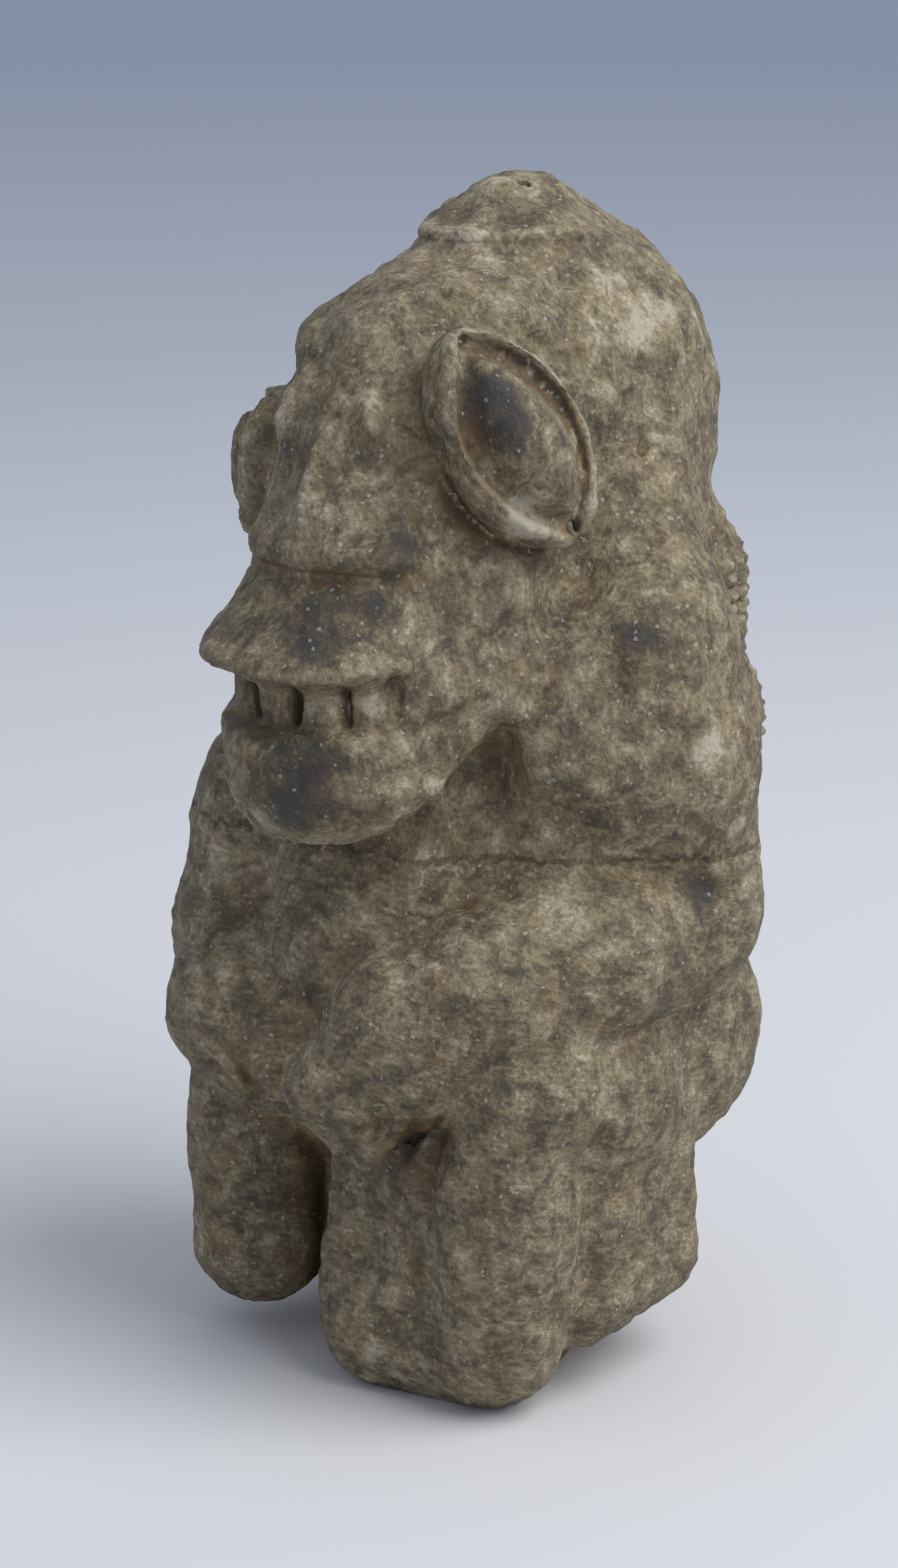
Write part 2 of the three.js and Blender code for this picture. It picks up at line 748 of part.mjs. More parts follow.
function toSolid(points, triangles) {
  const order = new Map();
  const vertProperties = [];
  const triVerts = triangles.flat().map((v) => {
    if (!order.has(v)) {
      order.set(v, order.size);
      vertProperties.push(...points[v]);
    }
    return order.get(v);
  });
  const mesh = new wasm.Mesh({
    numProp: 3,
    vertProperties: new Float32Array(vertProperties),
    triVerts: new Uint32Array(triVerts),
  });
  return new wasm.Manifold(mesh);
}

function geometryToSolid(geometry) {
  geometry.deleteAttribute("normal");
  geometry.deleteAttribute("uv");
  const merged = mergeVertices(geometry);
  const mesh = new wasm.Mesh({
    numProp: 3,
    vertProperties: merged.getAttribute("position").array,
    triVerts: new Uint32Array(merged.index.array),
  });
  return new wasm.Manifold(mesh);
}

function solidToGeometry(solid) {
  const { vertProperties, triVerts } = solid.getMesh();
  const geometry = new THREE.BufferGeometry();
  geometry.setAttribute("position", new THREE.Float32BufferAttribute(vertProperties, 3));
  geometry.setIndex(new THREE.Uint32BufferAttribute(triVerts, 1));
  const flat = geometry.toNonIndexed();
  flat.computeVertexNormals();
  return flat;
}

const skin = largestShell(polygonise(figure));
relax(skin);
const facets = simplify(skin);
const settled = [];
for (const v of new Set(facets.triangles.flat())) {
  settled[v] = settle(figure, facets.points[v]);
}

// The underside is one flat bed at z = 0
const below = new THREE.BoxGeometry(200, 200, 40).translate(0, 0, -20);
const carving = toSolid(settled, facets.triangles).subtract(geometryToSolid(below));

const stone = new THREE.MeshStandardMaterial({ color: 0x6b6252, roughness: 0.82, metalness: 0 });
const body = new THREE.Mesh(solidToGeometry(carving), stone);
body.name = "figure";
body.position.set(-MIDDLE.x, -MIDDLE.y, 0);

const part = new THREE.Group();
part.name = "stone_figure";
part.add(body);

export default part;
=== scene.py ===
import math

import bpy
import numpy as np
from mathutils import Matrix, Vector

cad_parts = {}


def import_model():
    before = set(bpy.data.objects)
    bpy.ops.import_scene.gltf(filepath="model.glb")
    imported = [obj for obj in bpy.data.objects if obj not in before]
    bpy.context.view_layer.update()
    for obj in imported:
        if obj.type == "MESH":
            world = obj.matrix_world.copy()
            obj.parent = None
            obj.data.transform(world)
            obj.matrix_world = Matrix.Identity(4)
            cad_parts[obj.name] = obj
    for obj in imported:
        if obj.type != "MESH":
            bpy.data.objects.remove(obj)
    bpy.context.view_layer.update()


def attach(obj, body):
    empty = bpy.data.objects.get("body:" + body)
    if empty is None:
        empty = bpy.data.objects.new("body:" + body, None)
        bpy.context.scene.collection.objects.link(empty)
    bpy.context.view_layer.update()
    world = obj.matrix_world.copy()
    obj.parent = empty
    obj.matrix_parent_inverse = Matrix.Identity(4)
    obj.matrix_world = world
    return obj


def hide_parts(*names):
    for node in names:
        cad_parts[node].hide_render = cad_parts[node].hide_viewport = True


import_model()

# A crouching figure carved from one stone. The carving is worked out in millimetres as one field,
# negative inside the stone, and then turned into a mesh in metres.
MM = 0.001
MIDDLE = (2.0, 3.1)

# Trunk
TRUNK = [
    dict(name="chest", centre=(0, 12, 96), half=(41, 37, 62), round=26, blend=1),
    dict(name="belly", centre=(-2, -11, 80), radii=(34, 24, 30), blend=8),
    dict(name="breast", centre=(0, -6, 112), radii=(32, 24, 26), blend=8),
    dict(name="core", centre=(1, 10, 40), half=(23, 26, 44), round=12, blend=6),
    dict(name="nape panel", centre=(2, 38, 136), half=(33, 17, 26), round=14, blend=2),
    dict(name="left buttock", centre=(28, 30, 62), radii=(17, 23, 25), blend=5),
    dict(name="right buttock", centre=(-26, 30, 62), radii=(17, 23, 25), blend=5),
]
TRUNK_HOLLOWS = [
    dict(name="under the chin", centre=(8, -44, 109), radii=(32, 18, 10), turn=(0, -10, 24), blend=8),
    dict(name="under the jaw", centre=(28, -27, 121), radii=(9, 15, 15), turn=(0, 0, 20), blend=4),
]

# Limbs: a chain is a list of stations, each x, y, z and radius, with a fillet at its joints.
# A limb's hollows are cut from it and from what comes before it.
LIMBS = [
    dict(name="foot block", blend=5, forms=[
        dict(centre=(7, -8, 38), half=(18, 22, 32), round=12, blend=1),
        dict(centre=(10, -10, 17), half=(22.5, 22.5, 19), round=14, turn=(0, 0, 12), blend=6),
    ], hollows=[
        dict(centre=(2, -41, 36), radii=(13, 14, 17), turn=(0, 0, -10), blend=8),
    ]),
    dict(name="right leg", blend=4, forms=[
        dict(chain=[(-33, -18, 56, 14), (-33, -19, 38, 12.5), (-34, -17, 18, 14)], knuckle=6, blend=1),
        dict(centre=(-28, 8, 40), half=(15, 20, 33), round=13, blend=4),
    ]),
    dict(name="left leg", blend=3, forms=[
        dict(centre=(28.5, 5, 42), half=(16, 22, 33), round=12, turn=(6, 0, 0), blend=1),
        dict(chain=[(35, -17, 64, 14), (34, 0, 60, 15.5), (31, 14, 50, 14)], knuckle=4, blend=5),
        dict(chain=[(34, -21, 63, 13), (32, -21.5, 40, 12.8), (28, -20, 14, 13)], knuckle=6, blend=3),
    ], hollows=[
        dict(chain=[(48, -13.5, 57, 2), (47, -13, 46, 2.6), (43, -10.5, 26, 1.2)], knuckle=2, blend=3),
    ]),
    dict(name="right arm", blend=4, forms=[
        dict(chain=[(-30, -4, 122, 15), (-33, -12, 104, 15), (-36, -16, 84, 15)], knuckle=6, blend=1),
        dict(chain=[(-36, -17, 78, 15), (-29, -25, 69, 14.5), (-13, -32, 63, 12)], knuckle=6, blend=4),
    ]),
    dict(name="left upper arm", blend=5, forms=[
        dict(centre=(33, 13, 125), half=(16, 21, 24), round=14, turn=(-41, 0, -8), blend=1),
        dict(chain=[(27, 21, 158, 14), (34, 13, 142, 16.5), (37, 16, 122, 17), (39, 20, 92, 16)], knuckle=8, blend=6),
    ], hollows=[
        dict(chain=[(31, -25, 115, 8), (44, -16, 109, 7.5), (51, -3, 102, 6.5), (59, 9, 96, 5.5)], knuckle=4, blend=5),
        dict(chain=[(41, -18, 109, 9), (30, -25, 105, 10), (19, -37, 97, 10), (8, -45, 89, 11), (0, -45, 80, 8)], knuckle=4, blend=6),
    ]),
    dict(name="left forearm and hand", blend=2.5, forms=[
        dict(chain=[(39, 19, 88, 15.5), (37, -4, 86.5, 15), (27, -20, 81, 16), (16, -29, 73, 15.5)], knuckle=6, blend=1),
        dict(centre=(13, -34, 68), half=(14, 9.5, 19), round=8.5, turn=(0, 36, 18), blend=5),
    ]),
]

# Grooves between the fingers: places across the hand, and the stretch along the fingers
FINGERS = [
    dict(centre=(14, -38, 60), turn=(0, 36, 18), gaps=(1.5, 7.5), start=-24, end=10),
    dict(centre=(-14, -34, 60), turn=(0, -52, -15), gaps=(-4.5, 2), start=-16, end=14),
]
FINGER_GAP = dict(depth=1.8, width=1.5, fade=8, reach=12)

# Head
SKULL = [
    dict(name="skull", centre=(0, 24, 180), radii=(32.5, 37.5, 39), blend=1),
    dict(name="crown", centre=(0, 19, 203), radii=(14, 17, 21), blend=9),
    dict(name="forehead", centre=(0, -3, 184), radii=(27, 29, 27), blend=8),
]
CHEEKS = [
    dict(name="cheeks", centre=(0, -6, 154), radii=(30, 33, 30), blend=1),
    dict(name="jaw", centre=(0, -14, 136), radii=(28, 31, 27), blend=4),
]
EYE_HOLLOWS = [
    dict(centre=(19, -38, 184), radii=(5, 9, 16), turn=(0, 10, 20), blend=5),
    dict(centre=(-19, -38, 177), radii=(5, 9, 16), turn=(0, -10, -20), blend=5),
]
JAW_LINE = dict(y=-44, z=106.5, rise=0.8, blend=6)

# Muzzle: outline at each level, as height, half width and front reach
MUZZLE = dict(back=-18, corner=2.5, middle=144, half_height=42, edge=6, overlap=20, blend=3)
MUZZLE_LEVELS = [
    (99, 8, 24), (102, 14, 34), (107, 19, 42), (115, 22.5, 48), (121, 24, 51), (131, 23.5, 49.5),
    (142, 23.2, 50), (149, 23.2, 48.5), (156, 22.5, 45.5), (162, 22.5, 43.5), (167, 22, 40.5), (180, 20, 34),
]
# Relief down the muzzle, as height and push outwards: lower lip, teeth, shelf of the upper lip,
# crease, and the fold under the nose
MUZZLE_RELIEF = [
    (124, 0), (128.5, 0.8), (130.5, 0.2), (132, -1.6), (139, -1.4), (140.2, 0), (141.4, 2.6), (143, 3.6),
    (145.5, 3), (149, 1), (153, -0.4), (157, -1.2), (159.3, -2.4), (161.5, 0.2), (164, 1.4), (167.5, 0.6), (171, 0),
]
MOUTH = dict(lift=2.2, half_width=24, widest=1.2, level=(150, 140))
TOOTH_SLOTS = dict(depth=2.6, width=2.2, rise=(131.5, 133.5), fall=(142.5, 140.5), front=(-34, -38))
TOOTH_ANGLES = (-34, -13, 8, 27, 44)

# Nose wedge: ridge from root to tip, half width at each, and the slope of its side planes
NOSE = dict(middle=1.5, root_z=196, tip_z=168, root_y=-31, tip_y=-45, root_half=9.5, tip_half=14.5, slope=0.8, back=-16, top=203, edge=3.5)

# Eyes: bulging almond eyes, the right one smaller and set lower
EYES = [dict(side=1, centre=(27, -16.5, 183), size=0.97), dict(side=-1, centre=(-27, -17, 171.5), size=0.8)]
EYE = dict(radii=(10, 13.4, 21.5), azimuth=58, tilt=30, upward=0.12, blend=1.5)
ALMOND = dict(half=8.6, length=18.5, shift=1.5, drop=0.5)
EYE_GROOVE = dict(depth=2.2, at=0.2, width=1.8)
EYE_LID = dict(height=1.4, at=3.8, width=1.8)
EYE_BULGE = dict(height=1.6, within=-6)
BROW = dict(across=17.5, along=26, drop=1, near=(22, 14))
BROW_LINES = [dict(height=1.3, at=1.2, width=0.16, start=0), dict(height=-0.9, at=0.98, width=0.11, start=-2)]
BROW_FULL = 12

# Fillet between the head and the shoulders: sharp in front, soft behind
NECK = {"front": 2.5, "back": 14, "from": (-6, 14)}

# Hood: its rim runs level over the brow and then down behind the eyes
HOOD = dict(level=214.5, corner=14)
HOOD_SIDE = [(150, 38), (161, 31), (168, 23), (183, 21.7), (192, 24.7), (200, 26.7), (215, 27)]
HOOD_STEP = dict(height=0.8, half=1.5)
HOOD_RIDGE = dict(height=1.1, at=1.2, width=1.6)
HOOD_GROOVE = dict(depth=0.7, at=6.5, width=1.4)

# Short cuts below the hood's rim, the same on both sides, as start and end
TICKS = [
    ((10.4, 1.2, 213.4), (14.7, -4, 208.5)),
    ((16.3, 11.6, 213.5), (19.5, 7.7, 207.7)),
    ((23.2, 19.2, 208.7), (26.5, 14.9, 203.6)),
    ((28.2, 21.9, 201.5), (30.5, 17.3, 191.7)),
    ((32.1, 20.3, 191.6), (32, 18, 183.7)),
    ((32.4, 18.9, 180.5), (31.6, 16.1, 176.7)),
    ((32, 19.6, 170.5), (30.2, 16.9, 167.5)),
]
TICK = dict(depth=1.5, width=1.3)

# Other cuts: start, end, depth and half width
CUTS = [
    ((-2.7, -2.4, 213.5), (2, -9, 210), 1.5, 1.3),
    ((28.9, -0.4, 162), (32.7, -10.7, 146.8), 2.2, 3),
    ((32.7, -10.7, 146.8), (32.5, -17.8, 132.7), 2.4, 2.6),
    ((19.8, -36.4, 131), (26.8, -23, 136.5), 0.9, 1.3),
    ((26.8, -23, 136.5), (30, -14, 143), 0.7, 1.5),
    ((41.5, -19.8, 94.3), (44.6, -22.1, 84.3), 1.0, 0.8),
    ((-17, -40.5, 71), (-11.4, -41.3, 57.6), 2.2, 2.4),
]
DRILLED = dict(centre=(4.4, 16.2, 224.5), radii=(1.2, 1.2, 3.5), blend=0.6)

# Knobs in staggered rows over the nape
KNOBS = dict(pitch=5.8, height=2.2, low=(112, 118), high=(164, 158), from_y=(31, 35), arc=36, arc_y=14)

# Mesh
CELL = 0.92
COARSE = 4
LOW = (-58, -64, -4)
HIGH = (62, 70, 232)
FACES = 190000
HEAD_BAND = (160, 178)


def smooth_union(a, b, k):
    h = np.maximum(k - np.abs(a - b), 0) / k
    return np.minimum(a, b) - h * h * (k / 4)


def smooth_cut(a, b, k):
    return -smooth_union(-a, b, k)


def ease(start, end, value):
    t = np.clip((value - start) / (end - start), 0, 1)
    return t * t * (3 - 2 * t)


def bell(value):
    return np.exp(-value * value)


def at_level(table, height, column):
    return np.interp(height, [row[0] for row in table], [row[column] for row in table]).astype(np.float32)


def turn_matrix(turn):
    x, y, z = np.radians(turn)
    about_x = np.array([[1, 0, 0], [0, np.cos(x), -np.sin(x)], [0, np.sin(x), np.cos(x)]])
    about_y = np.array([[np.cos(y), 0, np.sin(y)], [0, 1, 0], [-np.sin(y), 0, np.cos(y)]])
    about_z = np.array([[np.cos(z), -np.sin(z), 0], [np.sin(z), np.cos(z), 0], [0, 0, 1]])
    return about_z @ about_y @ about_x


def to_local(form, p):
    moved = [p[i] - np.float32(form["centre"][i]) for i in range(3)]
    if "turn" not in form:
        return moved
    m = turn_matrix(form["turn"]).T.astype(np.float32)
    return [m[i, 0] * moved[0] + m[i, 1] * moved[1] + m[i, 2] * moved[2] for i in range(3)]


def ellipsoid(q, radii):
    a, b, c = radii
    reach = np.sqrt((q[0] / a) ** 2 + (q[1] / b) ** 2 + (q[2] / c) ** 2)
    slope = np.sqrt((q[0] / a ** 2) ** 2 + (q[1] / b ** 2) ** 2 + (q[2] / c ** 2) ** 2) + 1e-6
    return reach * (reach - 1) / slope


def block(form, q):
    x, y, z = (np.abs(v) - (half - form["round"]) for v, half in zip(q, form["half"]))
    outside = np.sqrt(np.maximum(x, 0) ** 2 + np.maximum(y, 0) ** 2 + np.maximum(z, 0) ** 2)
    return outside + np.minimum(np.maximum(x, np.maximum(y, z)), 0) - form["round"]


def limb(a, b, p):
    d = [b[i] - a[i] for i in range(3)]
    q = [p[i] - np.float32(a[i]) for i in range(3)]
    t = np.clip((q[0] * d[0] + q[1] * d[1] + q[2] * d[2]) / sum(v * v for v in d), 0, 1)
    across = np.sqrt(sum((q[i] - t * d[i]) ** 2 for i in range(3)))
    return across - a[3] - (b[3] - a[3]) * t


def distance(form, p):
    if "chain" in form:
        d = np.float32(1e3)
        for a, b in zip(form["chain"], form["chain"][1:]):
            d = smooth_union(d, limb(a, b, p), form["knuckle"])
        return d
    q = to_local(form, p)
    return ellipsoid(q, form["radii"]) if "radii" in form else block(form, q)


def joined(forms, p):
    d = np.float32(1e3)
    for form in forms:
        d = smooth_union(d, distance(form, p), form["blend"])
    return d


def hollowed(d, hollows, p):
    for hollow in hollows:
        d = smooth_cut(d, distance(hollow, p), hollow["blend"])
    return d


def mouth_lift(x):
    return MOUTH["lift"] * np.minimum(np.abs(x) / MOUTH["half_width"], MOUTH["widest"]) ** 2


def tooth_slots(p):
    x, y, z = p
    height = z - mouth_lift(x)
    band = ease(*TOOTH_SLOTS["rise"], height) * ease(*TOOTH_SLOTS["fall"], height) * ease(*TOOTH_SLOTS["front"], y)
    angle = np.degrees(np.arctan2(x, MUZZLE["back"] - y))
    slots = sum(bell((angle - slot) / TOOTH_SLOTS["width"]) for slot in TOOTH_ANGLES)
    return slots * band * TOOTH_SLOTS["depth"]


def muzzle(p):
    x, y, z = p
    half = at_level(MUZZLE_LEVELS, z, 1)
    reach = at_level(MUZZLE_LEVELS, z, 2) + MUZZLE["back"]
    front = np.maximum(MUZZLE["back"] - y, 0)
    total = np.abs(x / half) ** MUZZLE["corner"] + (front / reach) ** MUZZLE["corner"]
    d = (total ** (1 / MUZZLE["corner"]) - 1) * np.minimum(half, reach)
    height = z - mouth_lift(x) * ease(*MOUTH["level"], z)
    front_only = np.where(z > 152, ease(-29, -39, y), ease(-33, -39, y))
    d = d - at_level(MUZZLE_RELIEF, height, 1) * front_only
    d = smooth_cut(d, MUZZLE["back"] + MUZZLE["overlap"] - y, MUZZLE["edge"])
    return smooth_cut(d, MUZZLE["half_height"] - np.abs(z - MUZZLE["middle"]), MUZZLE["edge"])


def eye_axes(side):
    azimuth, tilt = math.radians(EYE["azimuth"]), math.radians(EYE["tilt"])
    out = np.array([side * math.sin(azimuth), -math.cos(azimuth), EYE["upward"]])
    out /= np.linalg.norm(out)
    back = np.array([side * math.cos(azimuth), math.sin(azimuth), 0])
    up = np.cross(out, back) * side
    return out, back * math.cos(tilt) + up * math.sin(tilt), up * math.cos(tilt) - back * math.sin(tilt)


def eye_local(eye, p):
    moved = [p[i] - np.float32(eye["centre"][i]) for i in range(3)]
    return [sum(np.float32(axis[i]) * moved[i] for i in range(3)) for axis in eye_axes(eye["side"])]


def almond(across, along):
    radius = (ALMOND["length"] ** 2 + ALMOND["half"] ** 2) / (2 * ALMOND["half"])
    return np.sqrt((np.abs(across) + radius - ALMOND["half"]) ** 2 + along ** 2) - radius


def eye_rim(eye, p):
    q = [v / eye["size"] for v in eye_local(eye, p)]
    return q, almond(q[1] - ALMOND["shift"], q[2] + ALMOND["drop"])


def eyeball(eye, p):
    q, rim = eye_rim(eye, p)
    d = ellipsoid(q, EYE["radii"])
    d = d + EYE_GROOVE["depth"] * bell((rim - EYE_GROOVE["at"]) / EYE_GROOVE["width"])
    d = d - EYE_LID["height"] * bell((rim - EYE_LID["at"]) / EYE_LID["width"])
    d = d - EYE_BULGE["height"] * ease(0, EYE_BULGE["within"], rim)
    return d * eye["size"]


def brow_relief(eye, p):
    q = eye_local(eye, p)
    ring = np.sqrt((q[1] / BROW["across"]) ** 2 + ((q[2] + BROW["drop"]) / BROW["along"]) ** 2)
    raised = 0
    for line in BROW_LINES:
        raised = raised + line["height"] * bell((ring - line["at"]) / line["width"]) * ease(line["start"], BROW_FULL, q[2])
    return raised * ease(*BROW["near"], np.abs(q[0]))


def nose(p):
    x, y, z = p[0] - NOSE["middle"], p[1], p[2]
    t = (NOSE["root_z"] - z) / (NOSE["root_z"] - NOSE["tip_z"])
    ridge = NOSE["root_y"] + (NOSE["tip_y"] - NOSE["root_y"]) * t
    half = NOSE["root_half"] + (NOSE["tip_half"] - NOSE["root_half"]) * np.clip(t, 0, 1.1)
    d = (ridge + np.abs(x) * NOSE["slope"] - y) / math.hypot(1, NOSE["slope"])
    d = smooth_cut(d, half - np.abs(x), NOSE["edge"])
    d = smooth_cut(d, z - NOSE["tip_z"] + 0.5 + (y - NOSE["tip_y"]) * 0.1, NOSE["edge"])
    d = smooth_cut(d, NOSE["back"] - y, NOSE["edge"] / 2)
    return smooth_cut(d, NOSE["top"] - z, NOSE["edge"])


def hood_rim(p):
    return -smooth_union(HOOD["level"] - p[2], at_level(HOOD_SIDE, p[2], 1) - p[1], HOOD["corner"])


def hood_relief(p):
    rim = hood_rim(p)
    step = HOOD_STEP["height"] * ease(-HOOD_STEP["half"], HOOD_STEP["half"], rim)
    ridge = HOOD_RIDGE["height"] * bell((rim - HOOD_RIDGE["at"]) / HOOD_RIDGE["width"])
    groove = HOOD_GROOVE["depth"] * bell((rim - HOOD_GROOVE["at"]) / HOOD_GROOVE["width"])
    return step + ridge - groove


def head(p):
    face = smooth_union(joined(CHEEKS, p), muzzle(p), MUZZLE["blend"]) + tooth_slots(p)
    jaw_line = (p[2] - JAW_LINE["z"] - (p[1] - JAW_LINE["y"]) * JAW_LINE["rise"]) / math.hypot(1, JAW_LINE["rise"])
    face = smooth_cut(face, jaw_line, JAW_LINE["blend"])
    d = smooth_union(joined(SKULL, p), face, 6)
    d = hollowed(d, EYE_HOLLOWS, p)
    for eye in EYES:
        d = d - brow_relief(eye, p)
    d = smooth_union(d, nose(p), NOSE["edge"])
    for eye in EYES:
        d = smooth_union(d, eyeball(eye, p), EYE["blend"])
    return d - hood_relief(p)


def finger_gaps(hand, p):
    across, deep, along = to_local(hand, p)
    fade = FINGER_GAP["fade"]
    span = ease(hand["start"], hand["start"] + fade, along) * ease(hand["end"], hand["end"] - fade, along)
    span = span * ease(FINGER_GAP["reach"], FINGER_GAP["reach"] - fade / 2, np.abs(deep))
    return sum(bell((across - gap) / FINGER_GAP["width"]) for gap in hand["gaps"]) * FINGER_GAP["depth"] * span


def cuts(p):
    depth = 0
    for start, end in TICKS:
        for side in (1, -1):
            ends = [(side * x, y, z, 0) for x, y, z in (start, end)]
            depth = depth + TICK["depth"] * bell(limb(*ends, p) / TICK["width"])
    for start, end, deep, width in CUTS:
        depth = depth + deep * bell(limb((*start, 0), (*end, 0), p) / width)
    return depth


def knobs(p):
    x, y, z = p
    turn = 2 * math.pi / KNOBS["pitch"]
    around = np.arctan2(x, y - KNOBS["arc_y"]) * KNOBS["arc"] * turn
    row = z * turn
    raised = np.maximum(np.sin(around) * np.sin(row), 0) + np.maximum(-np.sin(around) * np.sin(row), 0)
    band = ease(*KNOBS["low"], z) * ease(*KNOBS["high"], z) * ease(*KNOBS["from_y"], y)
    return KNOBS["height"] * (np.sqrt(raised) - 0.5) * band


def figure(p):
    d = hollowed(joined(TRUNK, p), TRUNK_HOLLOWS, p)
    for limb_forms in LIMBS:
        d = smooth_union(d, joined(limb_forms["forms"], p), limb_forms["blend"])
        d = hollowed(d, limb_forms.get("hollows", []), p)
    for hand in FINGERS:
        d = d + finger_gaps(hand, p)
    fillet = NECK["front"] + (NECK["back"] - NECK["front"]) * ease(*NECK["from"], p[1])
    d = smooth_union(d - knobs(p), head(p), fillet)
    return hollowed(d, [DRILLED], p) + cuts(p)


def sample(field):
    """The field on a fine grid, worked out only near its zero level."""
    coarse_axes = [np.arange(LOW[i], HIGH[i] + COARSE, COARSE, dtype=np.float32) for i in range(3)]
    coarse = field(np.meshgrid(*coarse_axes, indexing="ij"))
    axes = [np.arange(LOW[i], HIGH[i], CELL, dtype=np.float32) for i in range(3)]
    nearest = [np.minimum(((axes[i] - LOW[i]) / COARSE + 0.5).astype(int), len(coarse_axes[i]) - 1) for i in range(3)]
    values = coarse[np.ix_(*nearest)]
    near = np.abs(values) < COARSE * 1.6
    index = np.nonzero(near)
    values[index] = field([axes[i][index[i]] for i in range(3)])
    return values, axes


def surface(values, axes):
    """Points and four-sided faces where the values pass through zero: one point in each crossed cell."""
    inside = values < 0
    shape = np.array(values.shape) - 1
    total = np.zeros((*shape, 3), np.float32)
    count = np.zeros(tuple(shape), np.float32)
    for axis in range(3):
        ahead = np.roll(values, -1, axis)
        crossed = inside != (ahead < 0)
        with np.errstate(divide="ignore", invalid="ignore"):
            t = np.where(crossed, values / (values - ahead), 0)
        others = [i for i in range(3) if i != axis]
        for a in (0, 1):
            for b in (0, 1):
                window = [slice(0, n) for n in shape]
                window[others[0]] = slice(a, a + shape[others[0]])
                window[others[1]] = slice(b, b + shape[others[1]])
                window = tuple(window)
                hit = crossed[window]
                count += hit
                total[..., axis] += np.where(hit, t[window], 0)
                total[..., others[0]] += a * hit
                total[..., others[1]] += b * hit
    used = count > 0
    number = np.full(tuple(shape), -1)
    number[used] = np.arange(used.sum())
    cells = np.stack(np.nonzero(used), 1)
    points = np.array([axes[i][0] for i in range(3)]) + (cells + total[used] / count[used][:, None]) * CELL
    faces = []
    for axis in range(3):
        b, c = (axis + 1) % 3, (axis + 2) % 3
        ahead = np.roll(inside, -1, axis)
        crossed = inside != ahead
        keep = [slice(None)] * 3
        keep[axis] = slice(0, shape[axis])
        keep[b] = slice(1, shape[b])
        keep[c] = slice(1, shape[c])
        region = np.zeros_like(crossed)
        region[tuple(keep)] = crossed[tuple(keep)]
        edge = np.stack(np.nonzero(region), 1)
        back_b, back_c = np.zeros(3, int), np.zeros(3, int)
        back_b[b], back_c[c] = 1, 1
        quad = np.stack([number[tuple((edge - shift).T)] for shift in (0 * back_b, back_b, back_b + back_c, back_c)], 1)
        outward = inside[tuple(edge.T)]
        quad[~outward] = quad[~outward][:, ::-1]
        faces.append(quad)
    return points, np.concatenate(faces)


def noise_table(seed):
    return np.random.default_rng(seed).random((32, 32, 32), dtype=np.float32) * 2 - 1


def noise(table, p, wavelength):
    """Smooth random values between -1 and 1 that change over about one wavelength."""
    total = 0
    cell = [np.floor(v / wavelength).astype(int) for v in p]
    part = [v / wavelength - c for v, c in zip(p, cell)]
    part = [t * t * t * (t * (t * 6 - 15) + 10) for t in part]
    for corner in range(8):
        bits = [corner & 1, (corner >> 1) & 1, corner >> 2]
        weight = 1
        for t, bit in zip(part, bits):
            weight = weight * (t if bit else 1 - t)
        index = tuple((c + bit) % 32 for c, bit in zip(cell, bits))
        total = total + weight * table[index]
    return total


def scallops(seed, p, size):
    """Shallow dishes that meet at ridges, as a hammered surface has: 0 in the middle of each dish."""
    spots = np.random.default_rng(seed).random((32, 32, 32, 3), dtype=np.float32)
    cell = [np.floor(v / size).astype(int) for v in p]
    nearest = np.full_like(p[0], 4)
    for step in np.ndindex(3, 3, 3):
        index = [c + s - 1 for c, s in zip(cell, step)]
        spot = spots[tuple(i % 32 for i in index)]
        away = sum((p[k] / size - index[k] - spot[:, k]) ** 2 for k in range(3))
        nearest = np.minimum(nearest, away)
    return nearest


def roughness_relief(p):
    """Weathering of the skin: chisel dishes, slow waviness, pecking and grit, in millimetres."""
    tables = [noise_table(seed) for seed in range(3)]
    waves = 0.5 * noise(tables[0], p, 15) + 0.4 * noise(tables[1], p, 7.3)
    pecks = 0.35 * np.abs(noise(tables[2], p, 3.6)) + 0.2 * noise(tables[0], p, 1.9)
    on_head = ease(*HEAD_BAND, p[2])
    for eye in EYES:
        away = np.sqrt(sum((p[i] - eye["centre"][i]) ** 2 for i in range(3)))
        on_head = on_head * ease(18, 25, away)
    dishes = (0.5 + 1.1 * on_head) * scallops(11, p, 9) + 0.5 * scallops(12, p, 4.5)
    return waves - pecks + dishes - 0.4


def gradient(field, p, reach=0.5):
    slope = []
    for axis in range(3):
        ahead = [v + reach if i == axis else v for i, v in enumerate(p)]
        behind = [v - reach if i == axis else v for i, v in enumerate(p)]
        slope.append(field(ahead) - field(behind))
    length = np.sqrt(sum(v * v for v in slope)) + 1e-6
    return [v / length for v in slope]


def split(points):
    return [points[:, i].astype(np.float32) for i in range(3)]


def make_mesh(name, points, faces):
    mesh = bpy.data.meshes.new(name)
    mesh.vertices.add(len(points))
    mesh.vertices.foreach_set("co", points.astype(np.float32).ravel())
    sides = faces.shape[1]
    mesh.loops.add(faces.size)
    mesh.loops.foreach_set("vertex_index", faces.astype(np.int32).ravel())
    mesh.polygons.add(len(faces))
    mesh.polygons.foreach_set("loop_start", np.arange(0, faces.size, sides, dtype=np.int32))
    mesh.update(calc_edges=True)
    mesh.validate()
    return mesh


def thinned(mesh, most):
    """The same mesh with its faces folded together down to at most this many triangles."""
    helper = bpy.data.objects.new("thinning", mesh)
    bpy.context.scene.collection.objects.link(helper)
    fold = helper.modifiers.new("fold", "DECIMATE")
    fold.use_collapse_triangulate = True
    fold.ratio = most / (2 * len(mesh.polygons))
    graph = bpy.context.evaluated_depsgraph_get()
    result = bpy.data.meshes.new_from_object(helper.evaluated_get(graph))
    bpy.data.objects.remove(helper)
    return result


